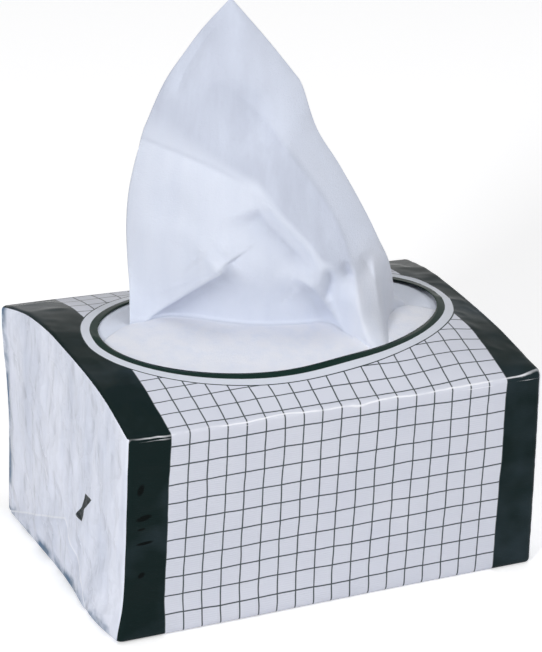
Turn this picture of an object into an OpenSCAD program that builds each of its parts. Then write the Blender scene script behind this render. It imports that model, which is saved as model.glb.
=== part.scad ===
// A soft film pack of folded wipes, with the top wipe pulled up through the oval torn in the film.
// +X runs to the right, +Y to the back and +Z up. The origin is the middle of the base.

/* [Pack] */
// Width across the two end walls
pack_w = 223; // [190:1:280]
// Depth from the front wall to the back wall
pack_d = 150; // [130:1:200]
// Height of the walls, on average
pack_h = 108; // [60:1:180]
// How much lower the right wall is than the left, where the wipes have sunk
side_drop = 5.7; // [0:0.1:12]
// How much more the back falls to the right than the middle does, and the front less
twist = 2.9; // [0:0.1:6]
// How much higher the back wall is than the front
back_lift = 3.1; // [0:0.1:8]
// Rise of the domed top above its edges, in the middle of the pack
dome_rise = 12.5; // [4:0.5:20]
// Rise of the top's curve at the left end wall
left_rise = 10.5; // [2:0.5:16]
// Rise of the top's curve at the right end wall
right_rise = 6.5; // [2:0.5:16]
// How far the end walls swell out in their middle
end_swell = 2.2; // [0:0.1:5]
// How far the left end's top edge is turned from the front to the back
left_skew = 3; // [0:0.5:6]
// Radius of the four upright corners
corner_r = 3; // [3:0.5:16]
// Radius of the roll-over along the top edge
top_edge_r = 2.4; // [1.5:0.1:2.8]
// Radius of the roll-under along the base
base_edge_r = 2.4; // [1.5:0.1:2.8]

/* [Film] */
// Thickness of the film as drawn
film_t = 0.4; // [0.2:0.1:1]
// Clearance between one layer and the next
layer_gap = 0.4; // [0.3:0.1:1]

/* [Opening] */
// Film left between the oval opening and an end wall
opening_end_margin = 19.5; // [12:0.5:40]
// Film left between the oval opening and the front or back wall
opening_side_margin = 19.5; // [12:0.5:40]
// Shift of the oval to the right
opening_x = 1.5; // [-5:0.5:5]
// Shift of the oval to the back
opening_y = 9; // [-5:0.5:12]
// Turn of the oval about the upright axis, in degrees
opening_turn = 5.5; // [-10:0.5:10]

/* [End folds] */
// Length of the flap folded down from the top of each end
top_flap_l = 58; // [30:1:80]
// Length of the flap folded up from the base of each end
base_flap_l = 52; // [30:1:80]
// Angle between a flap's side and the edge that it folds on
flap_angle = 47; // [45:1:70]

/* [Wipes] */
// Thickness of the pulled wipe as drawn
wipe_t = 0.6; // [0.4:0.1:1.2]
// Turn of the pulled wipe about the upright axis, in degrees
wipe_turn = -24; // [-40:1:40]
// Height of the wipe's peak above the pack's top
peak_h = 168; // [80:1:220]
// Shift of the peak along the wipe's width
peak_s = -24; // [-40:0.5:40]
// Width left at the tip of the peak
peak_w = 1.5; // [1:0.5:20]
// Free space between the standing wipe and the oval, on the left
gather_gap_left = 9.5; // [8:0.5:30]
// Free space between the standing wipe and the oval, on the right
gather_gap_right = 18; // [14:0.5:30]
// How far in front of the oval's middle the wipe stands
gather_front = 8.5; // [0:0.5:14]
// How far the left edge swells out below the old fold
left_belly = 3.5; // [0:0.5:8]
// How far the left edge is drawn in at the old fold
left_notch = 4; // [0:0.5:10]
// How far the right edge swells out just above its base
right_swell = 2; // [0:0.5:6]
// How far the right edge falls in a third of the way up
right_fall = 10; // [0:0.5:24]
// How far the wipe's foot curves towards the front
foot_bulge = 15; // [6:1:22]
// How far the right side of the foot runs round to the back
foot_return = 30; // [10:1:34]
// Depth of the old fold that crosses the wipe
crease_step = 2.6; // [0:0.1:4]
// Height of the ridge that runs down the right of the wipe
ridge_step = 3.4; // [0:0.1:5]
// Depth of the hollow between the fold and the ridge
hollow_depth = 3.2; // [0:0.1:5]
// How far the hanging left corner stands out over the foot
corner_fold = 4.6; // [0:0.1:6]
// How far the fold over the pocket on the right stands out
pocket_fold = 4.4; // [0:0.1:6]
// Height of the pleat at the right of the foot
pleat_step = 4.6; // [0:0.1:6]

/* [Hidden] */

// How finely the curves are stepped
corner_steps = 4;
long_side_steps = 20;
short_side_steps = 14;
wipe_columns = 42;
panel_rows = 8;
standing_rows = 30;
flap_steps = 10;
flap_rows = 4;

// Shares of the way from the inner ring to the edge of the top, for the film and for the stack
film_top_shares = [0, 0.15, 0.4, 0.7, 1];
stack_top_shares = [0.25, 0.5, 0.75, 1];
roll_angles = [30, 60, 90];

// How full the top's curve is from front to back: 2 is a parabola
crown_power = 2.4;

under_angles = [0, 45, 90];
// Shares of the way down a wall, where its swell is stepped
wall_shares = [0.2, 0.4, 0.6, 0.8];

// Depths of each layer below the outside of the film
wipe_drop = film_t + layer_gap + wipe_t / 2;
stack_drop = film_t + 2 * layer_gap + wipe_t;
stack_inset = film_t + layer_gap;

oval_rx = pack_w / 2 - opening_end_margin;
oval_ry = pack_d / 2 - opening_side_margin;
oval_middle = [opening_x, opening_y];

// Reach of the oval from its middle along the pulled wipe's width
oval_reach = 1 / norm([cos(wipe_turn - opening_turn) / oval_rx, sin(wipe_turn - opening_turn) / oval_ry]);
gather_left = oval_reach - gather_gap_left;
gather_right = oval_reach - gather_gap_right;
panel_half_w = pack_w / 2 - top_edge_r - layer_gap;
panel_front = -(pack_d / 2 - top_edge_r - layer_gap);

function mix(a, b, t) = a + (b - a) * t;
function lift(p, z) = [p.x, p.y, z];
function reversed(list) = [for (i = [len(list) - 1 : -1 : 0]) list[i]];
function smooth(t) = let (c = min(1, max(0, t))) c * c * (3 - 2 * c);

// A smooth curve through points, evenly spaced in t
function through(p, t) =
    let (n = len(p) - 1, i = min(floor(t * n), n - 1), f = t * n - i,
         b = p[i], c = p[i + 1], a = i == 0 ? 2 * b - c : p[i - 1], d = i == n - 1 ? 2 * c - b : p[i + 2])
    (2 * b + (c - a) * f + (2 * a - 5 * b + 4 * c - d) * f * f + (3 * b - a - 3 * c + d) * f * f * f) / 2;

// Height of the domed top over a point of the plan, less a depth below the film's outside
function top_z(p, drop) =
    let (across = p.x / pack_w, away = p.y / pack_d,
         ends = mix(left_rise, right_rise, across + 0.5),
         rise = mix(ends, dome_rise, 1 - pow(2 * across, 2)),
         crown = 1 - pow(abs(2 * away), crown_power))
    pack_h - (side_drop + twist * 2 * away) * across + back_lift * away + rise * crown - drop;

// Where a point goes when the ends swell and the left end is turned: nothing moves near the opening
function slump(p) =
    let (side = p.x < 0 ? -1 : 1, share = min(1, max(0, p.z / top_z([p.x, p.y], 0))),
         near_end = smooth((abs(2 * p.x / pack_w) - 0.8) / 0.2),
         swell = end_swell * max(0, 1 - pow(2 * p.y / pack_d, 2)) * sin(180 * share),
         skew = p.x < 0 ? left_skew * p.y / pack_d * share : 0)
    [p.x + near_end * (side * swell - skew), p.y, p.z];

// The pack's plan as a ring of points, inset from the walls, anticlockwise from the right end
function plan(inset) =
    let (hx = pack_w / 2 - corner_r, hy = pack_d / 2 - corner_r, r = corner_r - inset,
         middles = [[hx, hy], [-hx, hy], [-hx, -hy], [hx, -hy]])
    [for (q = [0 : 3])
        let (steps = q % 2 == 0 ? long_side_steps : short_side_steps,
             away = r * [cos(90 * q + 90), sin(90 * q + 90)],
             side_start = middles[q] + away, side_end = middles[(q + 1) % 4] + away)
        each concat(
            [for (i = [0 : corner_steps])
                let (a = 90 * (q + i / corner_steps)) middles[q] + r * [cos(a), sin(a)]],
            [for (i = [1 : steps - 1]) mix(side_start, side_end, i / steps)])];

// The oval opening, point by point beside the plan
function oval() = [for (p = plan(0))
    let (a = atan2(p.y / pack_d, p.x / pack_w) - opening_turn, x = oval_rx * cos(a), y = oval_ry * sin(a))
    oval_middle + [x * cos(opening_turn) - y * sin(opening_turn), x * sin(opening_turn) + y * cos(opening_turn)]];

// Rings of a skin that lies inset and dropped from the pack's outside: over the top, down and under
function skin(inner, shares, inset, drop) =
    let (edge = plan(top_edge_r), last = len(edge) - 1)
    concat(
        [for (share = shares) [for (j = [0 : last])
            let (p = mix(inner[j], edge[j], share)) lift(p, top_z(p, drop))]],
        [for (a = roll_angles)
            let (ring = plan(top_edge_r - (top_edge_r - inset) * sin(a)))
            [for (j = [0 : last])
                lift(ring[j], top_z(edge[j], drop) - (top_edge_r - inset) * (1 - cos(a)))]],
        [for (share = wall_shares)
            let (ring = plan(inset))
            [for (j = [0 : last])
                lift(ring[j], mix(top_z(edge[j], drop) - (top_edge_r - inset), base_edge_r, share))]],
        [for (a = under_angles)
            let (ring = plan(base_edge_r - (base_edge_r - inset) * cos(a)))
            [for (p = ring) lift(p, base_edge_r - (base_edge_r - inset) * sin(a))]]);

// A closed solid through rings of equal length, from one end point to the other
module loft(first, rings, last) {
    n = len(rings[0]);
    m = len(rings);
    polyhedron(
        concat([first], [for (ring = rings, p = ring) slump(p)], [last]),
        concat(
            [for (j = [0 : n - 1]) [0, 1 + (j + 1) % n, 1 + j]],
            [for (k = [0 : m - 2], j = [0 : n - 1])
                let (a = 1 + k * n, b = a + n, i = (j + 1) % n)
                each [[a + j, a + i, b + i], [a + j, b + i, b + j]]],
            [for (j = [0 : n - 1]) let (a = 1 + (m - 1) * n) [a + j, a + (j + 1) % n, m * n + 1]]),
        convexity = 6);
}

// A flap of film on an end wall: its upper and lower lines as lists of y and z, and the film layers proud
module end_flap(side, upper, lower, layers) {
    sunk = film_t / 2;
    x = pack_w / 2 + (layers * film_t - sunk) / 2;
    rows = [for (i = [0 : flap_rows]) [for (k = [0 : flap_steps])
        let (p = mix(lower[k], upper[k], i / flap_rows)) slump([side * x, p.x, p.y])]];
    sheet(side > 0 ? rows : [for (row = rows) reversed(row)], sunk + layers * film_t);
}

// The end's folds: the top flap comes down first and the base flap is sealed over it
module end_folds(side) {
    fold_half = pack_d / 2 - corner_r;
    top_tip = fold_half - top_flap_l / tan(flap_angle);
    base_tip = fold_half - base_flap_l / tan(flap_angle);
    shares = [for (k = [0 : flap_steps]) 2 * k / flap_steps - 1];
    top_curve = [for (f = shares)
        let (y = f * fold_half) [y, top_z([side * (pack_w / 2 - top_edge_r), y], top_edge_r)]];
    tip_z = top_curve[flap_steps / 2].y - top_flap_l;
    end_flap(side, top_curve, [for (f = shares) [f * top_tip, tip_z]], 1);
    end_flap(side, [for (f = shares) [f * base_tip, base_edge_r + base_flap_l]],
        [for (f = shares) [f * fold_half, base_edge_r]], 2);
}

module film_wrapper() {
    color([0.93, 0.94, 0.96]) {
        loft([0, 0, film_t],
            concat(reversed(skin(oval(), film_top_shares, film_t, film_t)),
                skin(oval(), film_top_shares, 0, 0)),
            [0, 0, 0]);
        end_folds(1);
        end_folds(-1);
    }
}

module wipe_stack() {
    middle = [for (p = plan(0)) oval_middle];
    color([0.97, 0.97, 0.99])
        loft(lift(oval_middle, top_z(oval_middle, stack_drop)),
            skin(middle, stack_top_shares, stack_inset, stack_drop),
            [0, 0, stack_inset]);
}

// The standing wipe's two edges, as widths from the oval's middle and heights above its foot
left_edge = [[-gather_left, 0], [-gather_left - left_belly / 2, 0.2 * peak_h],
    [-gather_left - left_belly, 0.38 * peak_h], [-gather_left + left_notch, 0.59 * peak_h],
    [mix(-gather_left, peak_s, 0.5), 0.78 * peak_h], [peak_s - peak_w / 2, peak_h]];
right_edge = [[gather_right, 0], [gather_right + right_swell, 0.11 * peak_h],
    [gather_right - right_fall, 0.32 * peak_h], [mix(gather_right, peak_s, 0.35), 0.52 * peak_h],
    [mix(gather_right, peak_s, 0.56), 0.745 * peak_h], [peak_s + peak_w / 2, peak_h]];

// Each fold of the wipe: its line in shares of the foot's width and of the peak's height, how far it stands
// out, and the widths of the sides that lie left and right of the line's direction
folds = [
    [[[0.02, 0.59], [0.35, 0.485], [0.65, 0.34], [0.82, 0.16]], crease_step, 6, 18],
    [[[0.52, 0.68], [0.69, 0.51], [0.85, 0.32], [0.93, 0.125]], ridge_step, 11, 6],
    [[[0.35, 0.78], [0.5, 0.62], [0.66, 0.46]], -hollow_depth, 8, 9],
    [[[-0.02, -0.01], [0.19, 0.1], [0.39, 0.215]], corner_fold, 22, 6],
    [[[0.61, 0.16], [0.69, 0.145], [0.79, 0.07], [0.88, -0.02]], pocket_fold, 13, 6],
    [[[0.895, 0.275], [0.92, 0.165], [0.975, -0.03]], pleat_step, 6, 6]];

// The share of the wipe's width that turns round behind on the right, and how far it turns
turned_share = 0.3;
turned_reach = 0.78;
turned_depth = 0.42;
body_depth = 0.2;
// Shares of the height by which the foot has grown into the body, and the turned side has swung behind
foot_share = 0.3;
swing_share = 0.25;

// How far one fold stands out at a width and height of the wipe
function fold_out(q, fold) =
    let (line = [for (w = fold[0]) [mix(-gather_left, gather_right, w.x), w.y * peak_h]],
         n = len(line) - 1,
         tries = [for (i = [0 : n - 1])
             let (step = line[i + 1] - line[i], off = q - line[i],
                  share = min(1, max(0, off * step / (step * step))))
             [norm(off - share * step), i + share, step.x * off.y - step.y * off.x]],
         near = min([for (t = tries) t[0]]),
         best = [for (t = tries) if (t[0] == near) t][0],
         width = best[2] > 0 ? fold[2] : fold[3],
         fade = smooth(best[1] / n / 0.15) * smooth((1 - best[1] / n) / 0.25))
    fold[1] * fade * exp(-pow(near / width, 2));

function all_folds_out(q, i = 0) = i == len(folds) ? 0 : fold_out(q, folds[i]) + all_folds_out(q, i + 1);

// How far across the seen width a column lies: close together where the sides turn away
function across_share(u) =
    let (share = min(1, u / (1 - turned_share)), first = cos(180 * 0.12))
    (first - cos(180 * (0.12 + 0.88 * share))) / (first + 1);

// Plan of the standing wipe: u runs from the left edge to the right and round behind, t from foot to peak
function standing_plan(u, t) =
    let (l = through(left_edge, t), r = through(right_edge, t), span = r.x - l.x,
         across = across_share(u), turned = max(0, (u - 1 + turned_share) / turned_share),
         swing = smooth(t / swing_share), body = pow(sin(180 * across), 0.8),
         s = l.x + span * across - span * turned_reach * pow(turned, 1.4) * swing
             + right_swell * 3 * turned * (1 - swing),
         z = mix(l.y, r.y, across),
         foot = foot_bulge / 2 * (1 - 2 * sin(180 * across)) + turned * foot_return * (1 - swing),
         upper = foot_bulge / 2 - body_depth * span * body + turned * turned_depth * span * (1 - turned / 2) * swing,
         out = all_folds_out([s, z]) * (1 - smooth(3 * turned)) * smooth((1 - t) / 0.04),
         c = mix(foot, upper, smooth(t / foot_share)) - gather_front - out)
    oval_middle + s * [cos(wipe_turn), sin(wipe_turn)] + c * [-sin(wipe_turn), cos(wipe_turn)];

function standing(u, t) =
    let (height = mix(through(left_edge, t).y, through(right_edge, t).y, across_share(u)),
         ground = top_z(standing_plan(u, 0), wipe_drop))
    lift(standing_plan(u, t), mix(ground, top_z(oval_middle, wipe_drop), smooth(t / 0.4)) + height);

// A point of the half that still lies on the stack, from the front edge back to the wipe's foot
function lying(u, t) =
    let (foot = standing_plan(u, 0),
         p = [mix(mix(-panel_half_w, panel_half_w, u), foot.x, pow(t, 4)), mix(panel_front, foot.y, t)])
    slump(lift(p, top_z(p, wipe_drop)));

function normal(rows, i, k) =
    let (m = len(rows) - 1, n = len(rows[0]) - 1,
         along = rows[min(i + 1, m)][k] - rows[max(i - 1, 0)][k],
         across = rows[i][min(k + 1, n)] - rows[i][max(k - 1, 0)],
         v = cross(across, along))
    v / norm(v);

// A sheet of even thickness about rows of points
module sheet(rows, thickness) {
    m = len(rows);
    n = len(rows[0]);
    half = thickness / 2;
    faces_up = [for (i = [0 : m - 2], k = [0 : n - 2])
        let (a = i * n + k, b = a + n) each [[a, b, b + 1], [a, b + 1, a + 1]]];
    rim = concat([for (k = [0 : n - 1]) k], [for (i = [1 : m - 1]) i * n + n - 1],
        [for (k = [n - 2 : -1 : 0]) (m - 1) * n + k], [for (i = [m - 2 : -1 : 1]) i * n]);
    polyhedron(
        [for (side = [half, -half], i = [0 : m - 1], k = [0 : n - 1])
            rows[i][k] + side * normal(rows, i, k)],
        concat(faces_up,
            [for (f = faces_up) [for (i = [2 : -1 : 0]) f[i] + m * n]],
            [for (j = [0 : len(rim) - 1])
                let (a = rim[j], b = rim[(j + 1) % len(rim)])
                each [[a, b, b + m * n], [a, b + m * n, a + m * n]]]),
        convexity = 8);
}

module pulled_wipe() {
    columns = [for (k = [0 : wipe_columns]) k / wipe_columns];
    color([0.96, 0.96, 0.99])
        sheet(concat(
            [for (i = [0 : panel_rows - 1]) [for (u = columns) lying(u, i / panel_rows)]],
            [for (i = [0 : standing_rows]) [for (u = columns) standing(u, i / standing_rows)]]),
            wipe_t);
}

film_wrapper();
wipe_stack();
pulled_wipe();
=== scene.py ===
import math

import bpy
import numpy as np
from mathutils import Matrix, Vector


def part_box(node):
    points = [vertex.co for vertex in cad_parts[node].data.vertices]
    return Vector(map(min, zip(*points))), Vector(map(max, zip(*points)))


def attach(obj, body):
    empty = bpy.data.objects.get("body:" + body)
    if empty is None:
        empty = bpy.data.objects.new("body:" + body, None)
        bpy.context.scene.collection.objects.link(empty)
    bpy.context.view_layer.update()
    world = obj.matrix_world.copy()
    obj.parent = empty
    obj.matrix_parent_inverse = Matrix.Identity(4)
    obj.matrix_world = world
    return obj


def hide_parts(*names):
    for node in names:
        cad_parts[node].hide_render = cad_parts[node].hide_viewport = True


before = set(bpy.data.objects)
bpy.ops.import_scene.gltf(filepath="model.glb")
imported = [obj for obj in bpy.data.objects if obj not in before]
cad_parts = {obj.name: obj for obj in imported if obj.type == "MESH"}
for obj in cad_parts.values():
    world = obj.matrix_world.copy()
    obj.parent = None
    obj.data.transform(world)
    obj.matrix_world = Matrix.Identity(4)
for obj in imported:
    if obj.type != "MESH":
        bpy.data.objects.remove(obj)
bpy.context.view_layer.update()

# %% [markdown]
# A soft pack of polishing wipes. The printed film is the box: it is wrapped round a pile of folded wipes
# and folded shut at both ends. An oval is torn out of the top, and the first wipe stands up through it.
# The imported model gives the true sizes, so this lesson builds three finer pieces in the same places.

MM = 0.001
pile_low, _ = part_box("wipe_stack")

# %% [markdown]
# The camera stands where the photographer stood: to the left of the pack, a little above it and some two
# metres away with a long lens. A long lens keeps the grid's squares nearly parallel. The photograph leans
# by a few degrees, so the camera is rolled to match, which is easier than turning the pack.

# %% Camera
PHOTO_HEIGHT_PX = 652
CAMERA_AZIMUTH = math.radians(-25.32)
CAMERA_ELEVATION = math.radians(24.86)
CAMERA_ROLL = math.radians(1.81)
CAMERA_DISTANCE = 2.043
CAMERA_TARGET = Vector((-1.8 * MM, 0.0, 117.6 * MM))
FOCAL_PX = 4124.5


def make_camera():
    data = bpy.data.cameras.new("photo_camera")
    data.sensor_width = 36.0
    data.lens = FOCAL_PX / PHOTO_HEIGHT_PX * data.sensor_width
    data.clip_start = 0.05
    camera = bpy.data.objects.new("photo_camera", data)
    bpy.context.scene.collection.objects.link(camera)
    flat, high = math.cos(CAMERA_ELEVATION), math.sin(CAMERA_ELEVATION)
    back = Vector((math.sin(CAMERA_AZIMUTH) * flat, -math.cos(CAMERA_AZIMUTH) * flat, high))
    stand = Matrix.Translation(CAMERA_TARGET + back * CAMERA_DISTANCE)
    turn = (-back).to_track_quat("-Z", "Y").to_matrix().to_4x4()
    camera.matrix_world = stand @ turn @ Matrix.Rotation(CAMERA_ROLL, 4, "Z")
    bpy.context.scene.camera = camera
    print("camera lens in mm", round(data.lens, 1))
    return camera


camera = make_camera()

# %% [markdown]
# Film is shiny and shows whatever stands round it, so the studio is part of the look. A white world, a large
# softbox on the left and a weaker one overhead give white surfaces about the colour that they are written
# with. A thin strip on the right draws bright lines along the film's creases, as a window would. The floor
# is white to the camera but still takes the pack's soft shadow.

# %% Studio
WORLD_LIGHT = 0.22
FLOOR_SIZE = 14.0
FLOOR_GAP = 0.2 * MM
FLOOR_WHITE = (0.93, 0.93, 0.94, 1.0)
FLOOR_GLOW = 0.40
LAMPS_FACE = Vector((0, 0, 0.12))
SOFTBOXES = {
    "key_softbox": {"at": (-1.95, -1.6, 1.3), "size": 0.5, "watts": 40.0},
    "strip_softbox": {"at": (0.95, -1.7, 1.45), "size": 0.6, "high": 0.035, "watts": 11.0},
    "top_softbox": {"at": (0.1, 0.1, 2.6), "size": 1.0, "watts": 16.0},
}


def linked(tree, value, socket):
    """Feeds a socket from another node, or writes a plain value into it."""
    if isinstance(value, bpy.types.NodeSocket):
        tree.links.new(value, socket)
    else:
        socket.default_value = value


def maths(tree, operation, *values):
    node = tree.nodes.new("ShaderNodeMath")
    node.operation = operation
    for value, socket in zip(values, node.inputs):
        linked(tree, value, socket)
    return node.outputs[0]


def larger(tree, first, second):
    return maths(tree, "MAXIMUM", first, second)


def times(tree, first, second):
    return maths(tree, "MULTIPLY", first, second)


def seen_by_eye(tree):
    """One for rays that the eye, a mirror or glass follows, and nought for light that bounces."""
    path = tree.nodes.new("ShaderNodeLightPath").outputs
    mirrored = larger(tree, path["Is Camera Ray"], path["Is Glossy Ray"])
    return larger(tree, mirrored, path["Is Transmission Ray"])


def new_material(name):
    material = bpy.data.materials.new(name)
    material.use_nodes = True
    return material, material.node_tree, material.node_tree.nodes["Principled BSDF"]


def make_world():
    world = bpy.data.worlds.new("white_studio")
    bpy.context.scene.world = world
    world.use_nodes = True
    tree = world.node_tree
    background = tree.nodes["Background"]
    background.inputs["Color"].default_value = (1.0, 1.0, 1.0, 1.0)
    strength = tree.nodes.new("ShaderNodeMapRange")
    strength.inputs["To Min"].default_value = WORLD_LIGHT
    strength.inputs["To Max"].default_value = 1.0
    tree.links.new(seen_by_eye(tree), strength.inputs["Value"])
    tree.links.new(strength.outputs["Result"], background.inputs["Strength"])


def make_floor():
    mesh = bpy.data.meshes.new("studio_floor")
    h = FLOOR_SIZE / 2
    mesh.from_pydata([(-h, -h, 0), (h, -h, 0), (h, h, 0), (-h, h, 0)], [], [(0, 1, 2, 3)])
    floor = bpy.data.objects.new("studio_floor", mesh)
    floor.location.z = -FLOOR_GAP
    bpy.context.scene.collection.objects.link(floor)
    material, tree, shader = new_material("studio_floor")
    shader.inputs["Base Color"].default_value = FLOOR_WHITE
    shader.inputs["Roughness"].default_value = 0.9
    shader.inputs["Specular IOR Level"].default_value = 0.1
    shader.inputs["Emission Color"].default_value = (1.0, 1.0, 1.0, 1.0)
    glow = times(tree, seen_by_eye(tree), FLOOR_GLOW)
    tree.links.new(glow, shader.inputs["Emission Strength"])
    mesh.materials.append(material)


def make_softboxes():
    for name, box in SOFTBOXES.items():
        data = bpy.data.lights.new(name, "AREA")
        data.shape = "RECTANGLE"
        data.size = box["size"]
        data.size_y = box.get("high", box["size"])
        data.energy = box["watts"]
        lamp = bpy.data.objects.new(name, data)
        lamp.location = box["at"]
        lamp.rotation_euler = (LAMPS_FACE - lamp.location).to_track_quat("-Z", "Y").to_euler()
        bpy.context.scene.collection.objects.link(lamp)


bpy.context.scene.view_settings.view_transform = "Standard"
make_world()
make_floor()
make_softboxes()
print("softboxes", sorted(SOFTBOXES))

# %% [markdown]
# Crumpled film and soft cloth are uneven in a way that no formula gives, yet the file has to give the same
# shape each run. Smooth noise from a fixed hash of whole-number points does both: each call is a hill
# and hollow field that depends only on where it is asked.

# %% Smooth noise and small helpers


def smooth(t):
    t = np.clip(t, 0.0, 1.0)
    return t * t * (3 - 2 * t)


def mix(a, b, t):
    return a + (b - a) * t


def corner_value(ix, iy, seed):
    h = (ix * 374761393 + iy * 668265263 + seed * 974634777) & 0xFFFFFFFF
    h = ((h ^ (h >> 13)) * 1274126177) & 0xFFFFFFFF
    return ((h ^ (h >> 16)) & 0xFFFF) / 32767.5 - 1.0


def hills(a, b, seed):
    """Smooth noise from -1 to 1 over two coordinates, one hill to a unit."""
    ia, ib = np.floor(a).astype(np.int64), np.floor(b).astype(np.int64)
    fa, fb = smooth(a - ia), smooth(b - ib)
    low = mix(corner_value(ia, ib, seed), corner_value(ia + 1, ib, seed), fa)
    high = mix(corner_value(ia, ib + 1, seed), corner_value(ia + 1, ib + 1, seed), fa)
    return mix(low, high, fb)


def crumple(a, b, seed):
    """Sharp-crested folds, from 0 to 1, in two sizes."""
    first = 1 - np.abs(hills(a, b, seed))
    second = 1 - np.abs(hills(2.3 * a + 7.1, 2.3 * b, seed + 1))
    return 0.65 * first**2 + 0.35 * second**2


print("noise at a fixed point", round(float(hills(np.array([0.3]), np.array([0.7]), 1)[0]), 4))

# %% [markdown]
# The film is one skin that runs from the rim of the oval, over the domed top, down the walls and under the
# base. It could be a box with bevels and a boolean hole, but that leaves ragged triangles at the rim. Rings
# are better: the first ring is the oval itself, the next ones blend into the pack's rounded outline, and the
# rest go down and under. Every ring has the same number of points, so the skin is all quads.

# %% The pack's form
PACK_W = 223 * MM
PACK_D = 150 * MM
EDGE_H = 108.4 * MM
SIDE_DROP = 6.5 * MM
TWIST = 3.7 * MM
BACK_LIFT = 3.9 * MM
DOME_RISE = 13.4 * MM
LEFT_RISE = 11 * MM
RIGHT_RISE = 6.5 * MM
CROWN_POWER = 2.4
CORNER_R = 3 * MM
TOP_EDGE_R = 2.4 * MM
BASE_EDGE_R = 2.4 * MM
OVAL_RX = 92 * MM
OVAL_RY = 55.5 * MM
OVAL_MIDDLE = np.array([1.5 * MM, 9 * MM])
OVAL_TURN = math.radians(5.5)
FILM_T = 0.3 * MM

CORNER_STEPS = 8
LONG_STEPS = 118
SHORT_STEPS = 84
TOP_RINGS = 26
ROLL_RINGS = 6
WALL_RINGS = 58
UNDER_RINGS = 4
BASE_RINGS = 6


def top_z(x, y):
    """Height of the domed top: the wipes have sunk a little towards the right end and the front."""
    rise = mix(mix(LEFT_RISE, RIGHT_RISE, x / PACK_W + 0.5), DOME_RISE, 1 - (2 * x / PACK_W) ** 2)
    crown = 1 - np.abs(2 * y / PACK_D) ** CROWN_POWER
    tilt = BACK_LIFT * y / PACK_D - (SIDE_DROP + TWIST * 2 * y / PACK_D) * x / PACK_W
    return EDGE_H + tilt + rise * crown


def outline(inset):
    """The pack's plan and its outward normals, inset from the walls, anticlockwise from the right end."""
    hx, hy, r = PACK_W / 2 - CORNER_R, PACK_D / 2 - CORNER_R, CORNER_R - inset
    middles = np.array([(hx, hy), (-hx, hy), (-hx, -hy), (hx, -hy)])
    points, normals = [], []
    for q in range(4):
        turns = np.radians(90 * (q + np.arange(CORNER_STEPS + 1) / CORNER_STEPS))
        arc = np.stack([np.cos(turns), np.sin(turns)], 1)
        points.append(middles[q] + r * arc)
        normals.append(arc)
        steps = LONG_STEPS if q % 2 == 0 else SHORT_STEPS
        share = (np.arange(1, steps) / steps)[:, None]
        points.append(mix(middles[q], middles[(q + 1) % 4], share) + r * arc[-1])
        normals.append(np.repeat(arc[-1:], steps - 1, 0))
    return np.concatenate(points), np.concatenate(normals)


def film_rings():
    """Rings of points from the oval's rim, over the edge and down the walls, to the middle of the base."""
    plan, _ = outline(0)
    edge, _ = outline(TOP_EDGE_R)
    angle = np.arctan2(plan[:, 1] / PACK_D, plan[:, 0] / PACK_W) - OVAL_TURN
    a, b = OVAL_RX * np.cos(angle), OVAL_RY * np.sin(angle)
    cos, sin = math.cos(OVAL_TURN), math.sin(OVAL_TURN)
    oval = OVAL_MIDDLE + np.stack([a * cos - b * sin, a * sin + b * cos], 1)
    rings = []
    for share in np.linspace(0, 1, TOP_RINGS):
        p = mix(oval, edge, share)
        rings.append(np.column_stack([p, top_z(p[:, 0], p[:, 1])]))
    edge_z = top_z(edge[:, 0], edge[:, 1])
    for turn in np.linspace(0, math.pi / 2, ROLL_RINGS + 1)[1:]:
        p, _ = outline(TOP_EDGE_R * (1 - math.sin(turn)))
        rings.append(np.column_stack([p, edge_z - TOP_EDGE_R * (1 - math.cos(turn))]))
    for share in np.linspace(0, 1, WALL_RINGS + 1)[1:]:
        rings.append(np.column_stack([plan, mix(edge_z - TOP_EDGE_R, BASE_EDGE_R, share)]))
    for turn in np.linspace(0, math.pi / 2, UNDER_RINGS + 1)[1:]:
        p, _ = outline(BASE_EDGE_R * (1 - math.cos(turn)))
        rings.append(np.column_stack([p, np.full(len(p), BASE_EDGE_R * (1 - math.sin(turn)))]))
    for share in np.linspace(0, 1, BASE_RINGS + 1)[1:-1]:
        rings.append(mix(rings[TOP_RINGS + ROLL_RINGS + WALL_RINGS + UNDER_RINGS - 1], np.zeros(3), share))
    return np.array(rings)


rings = film_rings()
print("film rings and points in a ring", rings.shape[:2])

# %% [markdown]
# Bare geometry looks like a plastic casting. Wrapping film is slack: the sealed ends crumple into upright
# streaks, the folded flaps leave soft steps, the torn rim lifts off the wipes at the front, corners stick out
# and the printed walls wave a little. A sculpting brush could do it, but nobody could then say how much. So
# each of these is a small push with a size: along the wall's normal, or straight up on the top.

# %% Slack, folds and the lifted rim
END_STREAK = 1.5 * MM
END_FACET = 1.6 * MM
END_FINE = 0.35 * MM
END_MARGIN = 14 * MM
END_SWELL = 2.2 * MM
# Streaks on the ends, in millimetres: how wide, how long, and how far they sway
STREAK_W, STREAK_LONG, STREAK_SWAY = 13, 60, 4
FLAP_STEP = 0.8 * MM
FLAP_BLEND = 1.6 * MM
BASE_FLARE = 0.8 * MM
FLARE_UP = 45 * MM
LEFT_SKEW = 3 * MM
# The left end's raised back corner, and its toe at the base: how far out, how far along and how far up
EAR, EAR_REACH, EAR_UP = 3.5 * MM, 18 * MM, 34 * MM
TOE, TOE_REACH, TOE_UP = 4.6 * MM, 30 * MM, 16 * MM
TOE_Y = -0.34 * PACK_D
FRONT_FOOT = 2.2 * MM
FOOT_UP = 20 * MM
RIGHT_SAG, SAG_Y, SAG_REACH = 1.4 * MM, -22 * MM, 34 * MM
RIGHT_EAR, RIGHT_EAR_REACH = 2.4 * MM, 9 * MM
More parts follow.
